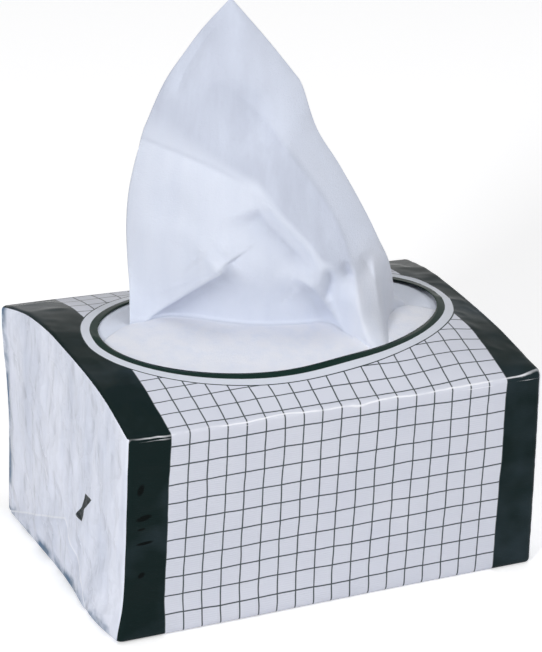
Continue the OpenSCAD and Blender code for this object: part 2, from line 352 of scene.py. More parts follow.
# Dents in the left band, in millimetres: across, height and depth
BAND_DENTS = [(-99, 84, 0.25), (-98, 69, 0.3), (-98.5, 57, 0.22), (-100, 41, 0.2)]
DENT_W, DENT_H = 3.2, 1.5
WALL_WAVE = 0.35 * MM
TOP_WAVE = 0.5 * MM
BAND_CRUMPLE = 0.7 * MM
RIM_LIFT = 3.2 * MM
# Where the torn rim stands up: turn round the oval in degrees, half width and share of the lift
RIM_LIFTS = [(-84, 14, 0.5), (-18, 15, 0.2)]
RIM_SETTLE = 1.1 * MM
RIM_REACH = 13 * MM
BAND_INNER_LEFT = -88 * MM
BAND_INNER_RIGHT = 92 * MM
BAND_BLEND = 6 * MM
# The base flap's upper edge on an end: distance from the front wall, height
FLAP_LINE = np.array([(0, -30), (32, -1), (70, 34), (150, 0), (152, -1)]) * MM


def in_oval(x, y):
    """Place in the turned oval, in shares of its two half widths."""
    cos, sin = math.cos(OVAL_TURN), math.sin(OVAL_TURN)
    dx, dy = x - OVAL_MIDDLE[0], y - OVAL_MIDDLE[1]
    return (dx * cos + dy * sin) / OVAL_RX, (dy * cos - dx * sin) / OVAL_RY


def rim_distance(x, y):
    """Distance outwards from the oval, close to true near the rim."""
    dx, dy = in_oval(x, y)
    rho = np.sqrt(dx**2 + dy**2)
    slope = np.sqrt((dx / OVAL_RX) ** 2 + (dy / OVAL_RY) ** 2) / np.maximum(rho, 1e-6)
    return (rho - 1) / slope


def in_band(x):
    """One well inside a dark end band, nought on the grid between the bands."""
    return smooth((BAND_INNER_LEFT - x) / BAND_BLEND) + smooth((x - BAND_INNER_RIGHT) / BAND_BLEND)


def end_push(x, y, z):
    """How far an end wall stands out: a swell, upright streaks and the step of the base flap."""
    across, up = (y + PACK_D / 2) / MM, z / MM
    swayed = across + STREAK_SWAY * hills(across / 40, up / 40, 3)
    left, right = (crumple(swayed / STREAK_W, up / STREAK_LONG, seed) for seed in (11, 31))
    streak = np.where(x < 0, left, right)
    fine = hills(swayed / 5, up / 22, 17)
    crossed = crumple((across + up) / 34, (across - up) / 26, 19)
    flap = smooth((np.interp(across * MM, FLAP_LINE[:, 0], FLAP_LINE[:, 1]) - z) / FLAP_BLEND)
    inside = smooth(z / END_MARGIN) * smooth((EDGE_H - z) / END_MARGIN)
    inside = inside * smooth((PACK_D / 2 - np.abs(y)) / (12 * MM))
    crumples = END_STREAK * (streak - 0.5) + END_FACET * (crossed - 0.5) + END_FINE * fine
    pillow = END_SWELL * (1 - (2 * y / PACK_D) ** 2) * np.sin(math.pi * np.clip(z / EDGE_H, 0, 1))
    flare = BASE_FLARE * smooth((FLARE_UP - z) / FLARE_UP) * (x < 0)
    return inside * crumples + pillow + FLAP_STEP * flap + flare


def wall_push(x, y, z):
    """Waves on the printed front and back walls, stronger where the dark bands have crumpled."""
    wave = WALL_WAVE * hills(x / (38 * MM), z / (30 * MM), 5 + (y > 0))
    band = BAND_CRUMPLE * in_band(x) * (crumple(x / (16 * MM), z / (11 * MM), 8) - 0.45)
    dents = sum(
        depth * MM * np.exp(-(((x / MM - at) / DENT_W) ** 2) - ((z / MM - up) / DENT_H) ** 2)
        for at, up, depth in BAND_DENTS
    )
    inside = smooth(z / BAND_BLEND) * smooth((EDGE_H - z) / BAND_BLEND)
    foot = FRONT_FOOT * smooth((FOOT_UP - z) / FOOT_UP) * smooth((70 * MM - x) / (140 * MM))
    return inside * (wave + band - dents * (y < 0)) + foot * (y < 0)


def right_sag(x, y):
    """How far the film and what lies under it have sunk at the right."""
    return RIGHT_SAG * np.exp(-(((y - SAG_Y) / SAG_REACH) ** 2)) * smooth((x - 80 * MM) / (26 * MM))


def top_push(x, y):
    """Waves on the top. The rim is lifted along its front and has settled on the wipes at the back."""
    rim = rim_distance(x, y)
    across, away = in_oval(x, y)
    turn = np.degrees(np.arctan2(away, across))
    lifted = sum(share * np.exp(-(((turn - at) / half_w) ** 2)) for at, half_w, share in RIM_LIFTS)
    near_rim = np.exp(-((np.maximum(rim, 0) / RIM_REACH) ** 2))
    lift = (RIM_LIFT * lifted - RIM_SETTLE * smooth(away / 0.5)) * near_rim
    wave = TOP_WAVE * hills(x / (26 * MM), y / (22 * MM), 21) * smooth(rim / (8 * MM))
    wave = wave + in_band(x) * BAND_CRUMPLE * (crumple(x / (20 * MM), y / (15 * MM), 27) - 0.45)
    ear = RIGHT_EAR * np.exp(-(((y + PACK_D / 2) / RIGHT_EAR_REACH) ** 2)) * smooth((x - 98 * MM) / (12 * MM))
    return lift - right_sag(x, y) + ear + wave * smooth((PACK_D / 2 - np.abs(y)) / (10 * MM))


def slacken(rings):
    """Pushes every point of the skin by its wall's or its top's unevenness."""
    _, normals = outline(0)
    x, y, z = rings[..., 0], rings[..., 1], rings[..., 2]
    on_end = np.abs(normals[:, 0]) ** 3
    out = on_end * end_push(x, y, z) + (1 - on_end) * wall_push(x, y, z)
    ring = np.arange(len(rings))[:, None]
    wall_first = TOP_RINGS + ROLL_RINGS
    on_wall = smooth((ring - TOP_RINGS + 1) / ROLL_RINGS)
    under = smooth((ring - wall_first - WALL_RINGS + 1) / UNDER_RINGS)
    moved = rings.copy()
    moved[..., :2] += normals[None] * (out * on_wall * (1 - under))[..., None]
    moved[..., 2] += top_push(x, y) * (1 - on_wall)
    left = smooth((-2 * x / PACK_W - 0.8) / 0.2)
    skew = LEFT_SKEW * y / PACK_D * np.clip(z / EDGE_H, 0, 1.1)
    ear = np.exp(-(((y - PACK_D / 2) / EAR_REACH) ** 2) - ((z - EDGE_H - 2 * MM) / EAR_UP) ** 2)
    toe = np.exp(-(((y - TOE_Y) / TOE_REACH) ** 2) - (z / TOE_UP) ** 2)
    moved[..., 0] -= left * (skew + EAR * ear + TOE * toe)
    return moved


slack_rings = slacken(rings)
print("largest push in mm", round(float(np.abs(slack_rings - rings).max() / MM), 2))

# %% [markdown]
# The print runs round the pack like a label round a tin, so it needs flat coordinates: how far across, and
# how far round from the front's top edge. They are stored as a UV map in metres. The distance from the
# torn rim goes into an attribute for the two printed rings. Faces on the ends get the unprinted film.

# %% Film mesh with its unrolled print map
FRONT_SLIP = 2 * MM
# The print's slip over the top edge: at the edge, and its growth away from it, on the right and on the left
SLIP_RIGHT, SLIP_LEFT = (2.0 * MM, 0.05), (0.6 * MM, 0.17)
SLIP_REACH = 40 * MM
# How far the columns bow to the right on the top, and where
PRINT_BOW, BOW_Y, BOW_REACH = 3.2 * MM, -28 * MM, 25 * MM


def along_girth(points, region):
    """Distance round the pack from the front wall's top, for points on the front, top, back or base."""
    x, y, z = points[..., 0], points[..., 1], points[..., 2]
    front, back = -PACK_D / 2 + TOP_EDGE_R, PACK_D / 2 - TOP_EDGE_R
    quarter = TOP_EDGE_R * math.pi / 2
    over = quarter + (np.clip(y, front, back) - front)
    over = over - TOP_EDGE_R * np.arcsin(np.clip((front - y) / TOP_EDGE_R, 0, 1))
    over = over + TOP_EDGE_R * np.arcsin(np.clip((y - back) / TOP_EDGE_R, 0, 1))
    near = np.clip(over, 0, SLIP_REACH)
    on_right, on_left = (at_edge + growth * near for at_edge, growth in (SLIP_RIGHT, SLIP_LEFT))
    slip = mix(on_right, on_left, smooth((60 * MM - x) / (140 * MM)))
    over = over + slip * smooth((80 * MM - x) / (40 * MM))
    edge = top_z(x, np.where(y < 0, front, back))
    down = z * EDGE_H / edge - (EDGE_H - TOP_EDGE_R)
    behind = 2 * quarter + (back - front) - down
    below = -(EDGE_H - TOP_EDGE_R) - (y + PACK_D / 2)
    return np.select([region == 0, region == 1, region == 2], [down + FRONT_SLIP, over, behind], below)


def build_film(rings):
    m, n = rings.shape[:2]
    verts = np.concatenate([rings.reshape(-1, 3), [[0.0, 0.0, 0.0]]])
    k, j = np.meshgrid(np.arange(m - 1), np.arange(n), indexing="ij")
    i = (j + 1) % n
    quads = np.stack([k * n + j, (k + 1) * n + j, (k + 1) * n + i, k * n + i], -1).reshape(-1, 4)
    last = (m - 1) * n
    cap = np.stack([np.full(n, m * n), last + (np.arange(n) + 1) % n, last + np.arange(n)], 1)
    mesh = bpy.data.meshes.new("printed_film")
    mesh.from_pydata(verts.tolist(), [], quads.tolist() + cap.tolist())

    _, normals = outline(0)
    side = (normals + normals[(np.arange(n) + 1) % n]) / 2
    wall_first = TOP_RINGS + ROLL_RINGS - 1
    base_first = wall_first + WALL_RINGS
    ring_of = np.concatenate([k.ravel(), np.full(n, m - 1)])
    side_of = np.concatenate([side[j.ravel()], side])
    on_wall = (ring_of >= wall_first) & (ring_of < base_first)
    region = np.where(ring_of < wall_first, 1, np.where(on_wall, np.where(side_of[:, 1] < 0, 0, 2), 3))
    below_edge = (ring_of >= TOP_RINGS + 2) & (ring_of < base_first + UNDER_RINGS)
    is_end = (np.abs(side_of[:, 0]) > 0.75) & below_edge

    sizes = np.array([len(p.vertices) for p in mesh.polygons])
    corner_vertex = np.zeros(len(mesh.loops), np.int32)
    mesh.loops.foreach_get("vertex_index", corner_vertex)
    corner_region = np.repeat(region, sizes)
    x, y = verts[corner_vertex, 0], verts[corner_vertex, 1]
    bow = PRINT_BOW * np.exp(-(((y - BOW_Y) / BOW_REACH) ** 2)) * smooth((x - 10 * MM) / (70 * MM))
    flat = np.column_stack([x - bow * (corner_region == 1), along_girth(verts[corner_vertex], corner_region)])
    unrolled = mesh.uv_layers.new(name="unrolled")
    unrolled.data.foreach_set("uv", flat.astype(np.float32).ravel())
    rim = np.where(verts[:, 2] > EDGE_H - 8 * MM, rim_distance(verts[:, 0], verts[:, 1]), 1.0)
    mesh.attributes.new("rim", "FLOAT", "POINT").data.foreach_set("value", rim.astype(np.float32))
    mesh.polygons.foreach_set("material_index", is_end.astype(np.int32))
    mesh.polygons.foreach_set("use_smooth", np.ones(len(mesh.polygons), bool))
    mesh.update()
    film = bpy.data.objects.new("printed_film", mesh)
    bpy.context.scene.collection.objects.link(film)
    wall = film.modifiers.new("film thickness", "SOLIDIFY")
    wall.thickness = FILM_T
    wall.offset = -1.0
    print("film faces", len(mesh.polygons), "of which on the ends", int(is_end.sum()))
    return film


film = build_film(slack_rings)

# %% [markdown]
# Next the film's finish. Inks on clear-coated film keep the film's own gloss, so there is one shader and
# only its colour changes. The grid is drawn by arithmetic on the unrolled map: the distance to the nearest
# whole square gives the lines, and two limits give the bands. A picture file would do it too, but would blur
# close up. Creases are shared by the printed and the plain film, so they sit in a node group.

# %% Node helpers and the shared crease group


def plus(tree, first, second):
    return maths(tree, "ADD", first, second)


def minus(tree, first, second):
    return maths(tree, "SUBTRACT", first, second)


def size_of(tree, value):
    return maths(tree, "ABSOLUTE", value)


def ramp(tree, value, start, end):
    """Nought before start, one after end, with a straight slope between."""
    node = tree.nodes.new("ShaderNodeMapRange")
    linked(tree, value, node.inputs["Value"])
    linked(tree, start, node.inputs["From Min"])
    linked(tree, end, node.inputs["From Max"])
    return node.outputs["Result"]


def blend_colour(tree, share, first, second):
    node = tree.nodes.new("ShaderNodeMix")
    node.data_type = "RGBA"
    linked(tree, share, node.inputs["Factor"])
    linked(tree, first, node.inputs["A"])
    linked(tree, second, node.inputs["B"])
    return node.outputs["Result"]


def noise(tree, where, scale, detail=2.0, rough=0.5, stretch=(1.0, 1.0, 1.0)):
    mapping = tree.nodes.new("ShaderNodeMapping")
    mapping.inputs["Scale"].default_value = stretch
    tree.links.new(where, mapping.inputs["Vector"])
    node = tree.nodes.new("ShaderNodeTexNoise")
    tree.links.new(mapping.outputs["Vector"], node.inputs["Vector"])
    linked(tree, scale, node.inputs["Scale"])
    node.inputs["Detail"].default_value = detail
    node.inputs["Roughness"].default_value = rough
    return node.outputs["Fac"]


def new_group(name, inputs, outputs, kind="ShaderNodeTree"):
    """An empty node group with named sockets, and its two end nodes."""
    tree = bpy.data.node_groups.new(name, kind)
    for way, titles in (("INPUT", inputs), ("OUTPUT", outputs)):
        for title, socket in titles.items():
            tree.interface.new_socket(name=title, in_out=way, socket_type="NodeSocket" + socket)
    return tree, tree.nodes.new("NodeGroupInput"), tree.nodes.new("NodeGroupOutput")


def placed(tree, group, **values):
    node = tree.nodes.new("ShaderNodeGroup")
    node.node_tree = group
    for title, value in values.items():
        linked(tree, value, node.inputs[title.replace("_", " ")])
    return node


def crease_group():
    """Height of film creases: long upright streaks, and the flat facets of crumpled film between them."""
    tree, given, result = new_group(
        "film creases",
        {"Where": "Vector", "Streak scale": "Float", "Crinkle scale": "Float"},
        {"Height": "Float"},
    )
    where = given.outputs["Where"]
    streak = noise(tree, where, given.outputs["Streak scale"], 3.0, 0.6, (1.0, 1.0, 0.18))
    fold = size_of(tree, minus(tree, streak, 0.5))
    bent = tree.nodes.new("ShaderNodeVectorMath")
    bent.operation = "MULTIPLY_ADD"
    tree.links.new(noise(tree, where, 40.0), bent.inputs[0])
    bent.inputs[1].default_value = (0.02, 0.02, 0.02)
    tree.links.new(where, bent.inputs[2])
    facets = tree.nodes.new("ShaderNodeTexVoronoi")
    tree.links.new(bent.outputs[0], facets.inputs["Vector"])
    tree.links.new(given.outputs["Crinkle scale"], facets.inputs["Scale"])
    facets.inputs["Detail"].default_value = 1.0
    total = plus(tree, times(tree, fold, -1.2), times(tree, facets.outputs["Distance"], 1.1))
    tree.links.new(total, result.inputs["Height"])
    return tree


film_creases = crease_group()
print("shader groups", [g.name for g in bpy.data.node_groups])

# %% [markdown]
# The printed film: squares of ten millimetres between two dark bands, a dark and a pale ring round the
# opening with a hairline, and the faint level lines of the folded wipes behind the film, which lie about
# a millimetre apart. Those level lines are colour and a slight bump, because they are far too fine to model.
# Two painted marks come last: painted shade in dents of the left band, and a white painted highlight
# along the top edge.

# %% Printed film
SQUARE = 10 * MM
LINE_W = 0.72 * MM
FIRST_LINE_BELOW = 3.1 * MM
LAYER_PITCH = 1.15 * MM
RING_DARK_W = 4.2 * MM
RING_PALE_W = 4.3 * MM
RING_LINE_W = 0.6 * MM
FILM_WHITE = (0.675, 0.695, 0.775, 1.0)
FILM_SHADE = (0.57, 0.60, 0.70, 1.0)
RING_PALE = (0.66, 0.69, 0.76, 1.0)
INK_GREEN = (0.006, 0.015, 0.015, 1.0)
INK_PALER = (0.024, 0.038, 0.046, 1.0)
# Painted shade in the left band's dents
DENT_SHADE = (0.001, 0.003, 0.003, 1.0)
# A painted highlight along the front's top edge: its white, its offset from the edge and how far it wanders
HIGHLIGHT_WHITE = (0.92, 0.93, 0.98, 1.0)
HIGHLIGHT_OFFSET = -3.0 * MM
HIGHLIGHT_WANDER = 7 * MM
# Painted shade in dents of the left band, in millimetres: across, height and their half sizes
DENT_SHADE_SPOTS = [
    (-103, 81, 1.8, 2.9), (-101, 65.6, 3.9, 1.6), (-102.4, 59.8, 2, 0.7), (-100.4, 52, 4.2, 0.9),
    (-102, 35, 1.8, 1.6),
]
INK_RING = (0.008, 0.026, 0.020, 1.0)
LINE_INK = (0.020, 0.034, 0.034, 1.0)
SOFT_EDGE = 0.12 * MM
FILM_SPECULAR = 0.05
FILM_IOR = 1.46
PRINT_SWAY = 1.6 * MM
LAYER_W = 0.3 * MM
PRINT_LEAN = 0.021


def line_mask(tree, across, pitch, width):
    """One on lines that repeat every pitch, nought between them."""
    share = maths(tree, "FRACT", plus(tree, maths(tree, "DIVIDE", across, pitch), 0.5))
    away = times(tree, size_of(tree, minus(tree, share, 0.5)), pitch)
    return ramp(tree, away, width / 2 + SOFT_EDGE, width / 2 - SOFT_EDGE)


def bumped(tree, shader, height, distance, strength):
    bump = tree.nodes.new("ShaderNodeBump")
    bump.inputs["Distance"].default_value = distance
    bump.inputs["Strength"].default_value = strength
    tree.links.new(height, bump.inputs["Height"])
    tree.links.new(bump.outputs["Normal"], shader.inputs["Normal"])


def painted_dent_shade(tree, place, front_wall):
    """Painted shade in small dents of the left band, where the film has pulled in and catches no light."""
    parts = tree.nodes.new("ShaderNodeSeparateXYZ")
    tree.links.new(place, parts.inputs[0])
    total = None
    for at, up, half_w, half_h in DENT_SHADE_SPOTS:
        dx = maths(tree, "DIVIDE", minus(tree, parts.outputs["X"], at * MM), half_w * MM)
        dz = maths(tree, "DIVIDE", minus(tree, parts.outputs["Z"], up * MM), half_h * MM)
        skewed = minus(tree, dx, times(tree, dz, 0.35))
        far = plus(tree, times(tree, skewed, skewed), times(tree, dz, dz))
        mark = ramp(tree, far, 1.3, 0.5)
        total = mark if total is None else larger(tree, total, mark)
    return times(tree, total, front_wall)


def print_map(tree):
    """The unrolled map's two coordinates: across the pack, and round it from the front's top edge."""
    map_node = tree.nodes.new("ShaderNodeUVMap")
    map_node.uv_map = "unrolled"
    parts = tree.nodes.new("ShaderNodeSeparateXYZ")
    tree.links.new(map_node.outputs["UV"], parts.inputs[0])
    return parts.outputs["X"], parts.outputs["Y"]


def around_half(tree, value, reach):
    """Turns noise from nought to one into a sway to both sides."""
    return times(tree, minus(tree, value, 0.5), reach)


def painted_edge_highlight(tree, place, round_pack):
    """A painted highlight: a white line that wanders along the front's top edge and breaks off here and
    there.
    """
    wander = around_half(tree, noise(tree, place, 30.0, 3.0), HIGHLIGHT_WANDER)
    off_edge = size_of(tree, plus(tree, plus(tree, round_pack, HIGHLIGHT_OFFSET), wander))
    broken = ramp(tree, noise(tree, place, 48.0, 2.0), 0.40, 0.56)
    return times(tree, ramp(tree, off_edge, 0.65 * MM, 0.2 * MM), broken)


def ringed(tree, colour):
    """Lays the hairline, the pale ring and the dark ring over a colour, by the distance from the rim."""
    rim_node = tree.nodes.new("ShaderNodeAttribute")
    rim_node.attribute_name = "rim"
    pale_edge = RING_DARK_W + RING_PALE_W
    for edge, ink in ((pale_edge + RING_LINE_W, LINE_INK), (pale_edge, RING_PALE), (RING_DARK_W, INK_RING)):
        colour = blend_colour(tree, ramp(tree, rim_node.outputs["Fac"], edge, edge - SOFT_EDGE), colour, ink)
    return colour


def printed_film():
    material, tree, shader = new_material("printed_film")
    place = tree.nodes.new("ShaderNodeTexCoord").outputs["Object"]
    map_x, map_y = print_map(tree)
    sway = around_half(tree, noise(tree, place, 45.0), PRINT_SWAY)
    down_front = maths(tree, "MINIMUM", larger(tree, times(tree, map_y, -1.0), 0.0), EDGE_H)
    across = plus(tree, plus(tree, map_x, times(tree, down_front, PRINT_LEAN)), sway)
    round_pack = plus(tree, map_y, sway)
    columns = line_mask(tree, minus(tree, across, BAND_INNER_LEFT), SQUARE, LINE_W)
    rows = line_mask(tree, plus(tree, round_pack, FIRST_LINE_BELOW), SQUARE, LINE_W)
    left = ramp(tree, across, BAND_INNER_LEFT + SOFT_EDGE, BAND_INNER_LEFT - SOFT_EDGE)
    right = ramp(tree, across, BAND_INNER_RIGHT - SOFT_EDGE, BAND_INNER_RIGHT + SOFT_EDGE)

    front_wall = ramp(tree, map_y, 0.5 * MM, -0.5 * MM)
    back_wall = ramp(tree, map_y, PACK_D, PACK_D + 1 * MM)
    layers = line_mask(tree, round_pack, LAYER_PITCH, LAYER_W)
    layers = times(tree, layers, larger(tree, front_wall, back_wall))
    patchy = ramp(tree, noise(tree, place, 60.0, 3.0), 0.42, 0.62)
    shade = times(tree, layers, plus(tree, times(tree, patchy, 0.45), 0.12))
    cloudy = times(tree, ramp(tree, noise(tree, place, 28.0, 3.0), 0.35, 0.75), 0.35)
    colour = blend_colour(tree, larger(tree, shade, cloudy), FILM_WHITE, FILM_SHADE)
    colour = blend_colour(tree, times(tree, larger(tree, columns, rows), 0.92), colour, LINE_INK)
    ink = blend_colour(tree, ramp(tree, noise(tree, place, 26.0, 3.0), 0.45, 0.7), INK_GREEN, INK_PALER)
    colour = blend_colour(tree, larger(tree, left, right), colour, ink)
    # Painted shade in the left band's dents
    colour = blend_colour(tree, painted_dent_shade(tree, place, front_wall), colour, DENT_SHADE)
    # A painted highlight along the front's top edge
    highlight = times(tree, painted_edge_highlight(tree, place, map_y), 0.85)
    colour = ringed(tree, blend_colour(tree, highlight, colour, HIGHLIGHT_WHITE))
    tree.links.new(colour, shader.inputs["Base Color"])

    dull = plus(tree, times(tree, noise(tree, place, 70.0, 3.0), 0.10), 0.05)
    tree.links.new(dull, shader.inputs["Roughness"])
    shader.inputs["IOR"].default_value = FILM_IOR
    shader.inputs["Specular IOR Level"].default_value = FILM_SPECULAR
    creases = placed(tree, film_creases, Where=place, Streak_scale=60.0, Crinkle_scale=60.0)
    height = plus(tree, times(tree, creases.outputs["Height"], 0.25), times(tree, layers, 0.3))
    bumped(tree, shader, height, 0.35 * MM, 0.6)
    return material


# %% [markdown]
# The two ends are the same film without ink: milky, more crumpled and a little duller. Ragged scraps of the
# dark band show through along the base and the back edge where the film was folded in, the base flap's seam
# is a painted highlight line with a painted shadow under it, and a small dark scrap of print lies on the left
# end. They are patches of colour placed by their distance from the edges, from the flap's tip and from the
# scrap's middle.

# %% Plain film on the ends
END_WHITE = (0.78, 0.812, 0.912, 1.0)
END_SHADE = (0.64, 0.68, 0.79, 1.0)
END_BLUE = (0.11, 0.18, 0.28, 1.0)
# The painted highlight on the base flap's seam; END_SHADE also gives the painted shadow under it
SEAM_HIGHLIGHT = (0.86, 0.88, 0.94, 1.0)
# The base flap's tip on an end, and how steeply its seam falls to the front and to the back
FLAP_TIP_Y, FLAP_TIP_Z = -5 * MM, 34 * MM
FLAP_FALL = (-0.91, 0.43)
SCRAP_INK = (0.010, 0.017, 0.020, 1.0)
SCRAP_Y, SCRAP_Z = -28 * MM, 51 * MM
SCRAP_HALF_H, SCRAP_WAIST, SCRAP_LEAN, SCRAP_FLARE = 8 * MM, 1.3 * MM, -0.6, 0.3


def painted_seam_light(tree, y, z, colour):
    """The base flap's seam: a soft painted shadow under a painted highlight line, both following the flap's
    sloping edge.
    """
    from_tip = minus(tree, y, FLAP_TIP_Y)
    fall = larger(tree, times(tree, from_tip, FLAP_FALL[0]), times(tree, from_tip, FLAP_FALL[1]))
    under = minus(tree, minus(tree, FLAP_TIP_Z, fall), z)
    shade = times(tree, ramp(tree, under, 9 * MM, 0.0), ramp(tree, under, -0.4 * MM, 0.2 * MM))
    colour = blend_colour(tree, times(tree, shade, 0.8), colour, END_SHADE)
    line = ramp(tree, size_of(tree, under), 0.7 * MM, 0.2 * MM)
    return blend_colour(tree, times(tree, line, 0.7), colour, SEAM_HIGHLIGHT)


def print_scrap(tree, x, y, z):
    """One inside the small leaning bow of print on the left end."""
    up = minus(tree, z, SCRAP_Z)
    off_line = size_of(tree, minus(tree, minus(tree, y, SCRAP_Y), times(tree, up, SCRAP_LEAN)))
    half_w = plus(tree, times(tree, size_of(tree, up), SCRAP_FLARE), SCRAP_WAIST)
    within = ramp(tree, minus(tree, off_line, half_w), 0.3 * MM, 0.0)
    ends = ramp(tree, size_of(tree, up), SCRAP_HALF_H + 0.2 * MM, SCRAP_HALF_H - 0.2 * MM)
    return times(tree, times(tree, within, ends), ramp(tree, x, -50 * MM, -60 * MM))


def plain_film():
    material, tree, shader = new_material("plain_film")
    place = tree.nodes.new("ShaderNodeTexCoord").outputs["Object"]
    parts = tree.nodes.new("ShaderNodeSeparateXYZ")
    tree.links.new(place, parts.inputs[0])
    x, y, z = parts.outputs
    streaky = noise(tree, place, 55.0, 4.0, 0.6, (1.0, 1.0, 0.22))
    colour = blend_colour(tree, ramp(tree, streaky, 0.40, 0.68), END_WHITE, END_SHADE)
    ragged = ramp(tree, noise(tree, place, 60.0, 4.0), 0.40, 0.56)
    from_back = minus(tree, PACK_D / 2, y)
    edge = larger(tree, ramp(tree, z, 9 * MM, 5 * MM), ramp(tree, from_back, 8 * MM, 4 * MM))
    colour = blend_colour(tree, times(tree, edge, ragged), colour, END_BLUE)
    # Painted shadow under the base flap's seam and a painted highlight along it
    colour = painted_seam_light(tree, y, z, colour)
    colour = blend_colour(tree, print_scrap(tree, x, y, z), colour, SCRAP_INK)
    tree.links.new(colour, shader.inputs["Base Color"])

    dull = plus(tree, times(tree, noise(tree, place, 80.0, 3.0), 0.22), 0.14)
    tree.links.new(dull, shader.inputs["Roughness"])
    shader.inputs["IOR"].default_value = FILM_IOR
    shader.inputs["Specular IOR Level"].default_value = FILM_SPECULAR
    creases = placed(tree, film_creases, Where=place, Streak_scale=60.0, Crinkle_scale=48.0)
    bumped(tree, shader, creases.outputs["Height"], 2.4 * MM, 0.75)
    return material


film.data.materials.append(printed_film())
film.data.materials.append(plain_film())
print("film finishes", [m.name for m in film.data.materials])

# %% [markdown]
# Nonwoven wipes are matt, faintly blue-white and very slightly uneven: short fibres lie at random and the
# web is a little thicker in bands. Both the standing wipe and the pile use it, so it is a node group. One
# layer lets more of the dark behind it through than a folded or lying one, so two attributes on the mesh
# paint light and shade: painted shade where the cloth is single, in fold hollows and on the hem, and the
# lying half's white, which is also painted light on the gathered foot.

# %% Wipe cloth
CLOTH_WHITE = (0.72, 0.765, 0.875, 1.0)
CLOTH_THIN = (0.66, 0.71, 0.83, 1.0)
# Painted shade on the standing wipe, and the lying half's white, also painted light on the gathered foot
CLOTH_PAINTED_SHADE = (0.55, 0.59, 0.70, 1.0)
CLOTH_LYING_AND_PAINTED_LIGHT = (0.77, 0.785, 0.845, 1.0)


def fibre_group():
    """Height and thinness of a nonwoven web: fine fibres, with faint bands along the machine's direction."""
    tree, given, result = new_group(
        "nonwoven fibres",
        {"Where": "Vector", "Fibre scale": "Float"},
        {"Height": "Float", "Thin": "Float"},
    )
    fibres = noise(tree, given.outputs["Where"], given.outputs["Fibre scale"], 3.0, 0.7, (1.0, 1.0, 0.35))
    cross = noise(tree, given.outputs["Where"], given.outputs["Fibre scale"], 3.0, 0.7, (0.3, 0.3, 1.0))
    bands = noise(tree, given.outputs["Where"], 120.0, 3.0, 0.6, (1.0, 1.0, 0.12))
    tree.links.new(plus(tree, fibres, cross), result.inputs["Height"])
    tree.links.new(ramp(tree, bands, 0.40, 0.72), result.inputs["Thin"])
    return tree


nonwoven = fibre_group()


def wipe_cloth(name, thin_share):
    material, tree, shader = new_material(name)
    place = tree.nodes.new("ShaderNodeTexCoord").outputs["Object"]
    fibres = placed(tree, nonwoven, Where=place, Fibre_scale=1500.0)
    thin = times(tree, fibres.outputs["Thin"], thin_share)
    cloth = CLOTH_WHITE
    # Painted shade first, then the lying half's white with the painted light on the gathered foot
    for title, tint in (("single_and_painted_shade", CLOTH_PAINTED_SHADE), ("lying", CLOTH_LYING_AND_PAINTED_LIGHT)):
        share = tree.nodes.new("ShaderNodeAttribute")
        share.attribute_name = title
        cloth = blend_colour(tree, share.outputs["Fac"], cloth, tint)
    tree.links.new(blend_colour(tree, thin, cloth, CLOTH_THIN), shader.inputs["Base Color"])
    shader.inputs["Roughness"].default_value = 0.92
    shader.inputs["Specular IOR Level"].default_value = 0.2
    shader.inputs["Sheen Weight"].default_value = 0.15
    shader.inputs["Sheen Roughness"].default_value = 0.6
    bumped(tree, shader, fibres.outputs["Height"], 0.2 * MM, 0.8)
    return material


standing_cloth = wipe_cloth("standing_wipe_cloth", 0.5)
pile_cloth = wipe_cloth("pile_cloth", 0.35)
print("cloth finishes", standing_cloth.name, pile_cloth.name)

# %% [markdown]
# The pile is the same folded wipe many times over, which is what Geometry Nodes are for: one slab with a
# rounded fold is instanced up a line of points with a small seeded shift, and then the whole pile is bent to
# the dome, a little at the base and fully at the top. Modelling each wipe by hand would only hide the rule.

# %% The pile of folded wipes
PILE_LAYERS = 56
PILE_SEED = 4
PILE_SHIFT = 0.5 * MM
# Room left between the pile and the film: at both ends together, at front and back together, and on top
PILE_END_ROOM, PILE_WALL_ROOM, PILE_TOP_ROOM = 9 * MM, 5 * MM, 1.8 * MM
PILE_RIGHT_SINK = 0.5 * MM
PILE_INPUTS = {
    "Width": "Float", "Depth": "Float", "Height": "Float", "Layers": "Int", "Dome rise": "Float",
    "Left rise": "Float", "Right rise": "Float", "Crown power": "Float", "Side drop": "Float",
    "Twist": "Float", "Back lift": "Float", "Shift": "Float", "Seed": "Int", "Cloth": "Material",
}


def vector_of(tree, **parts):
    """A vector from its named parts, with nought for those left out."""
    node = tree.nodes.new("ShaderNodeCombineXYZ")
    for axis, value in parts.items():
        linked(tree, value, node.inputs[axis])
    return node.outputs[0]


def moved_by(tree, geometry, offset):
    node = tree.nodes.new("GeometryNodeSetPosition")
    tree.links.new(geometry, node.inputs["Geometry"])
    tree.links.new(offset, node.inputs["Offset"])
    return node.outputs["Geometry"]


def folded_wipe(tree, given, pitch, place):
    """One folded wipe: a slab whose front and back folds swell at the middle of its thickness."""
    slab = tree.nodes.new("GeometryNodeMeshCube")
    tree.links.new(vector_of(tree, X=given["Width"], Y=given["Depth"], Z=pitch), slab.inputs["Size"])
    for title, count in (("Vertices X", 22), ("Vertices Y", 18), ("Vertices Z", 3)):
        slab.inputs[title].default_value = count
    at_middle = maths(tree, "LESS_THAN", size_of(tree, place["Z"]), times(tree, pitch, 0.2))
    at_fold = maths(tree, "GREATER_THAN", size_of(tree, place["Y"]), times(tree, given["Depth"], 0.499))
    swell = times(tree, times(tree, at_middle, at_fold), times(tree, pitch, 0.4))
    outwards = times(tree, maths(tree, "SIGN", place["Y"]), swell)
    return moved_by(tree, slab.outputs["Mesh"], vector_of(tree, Y=outwards))


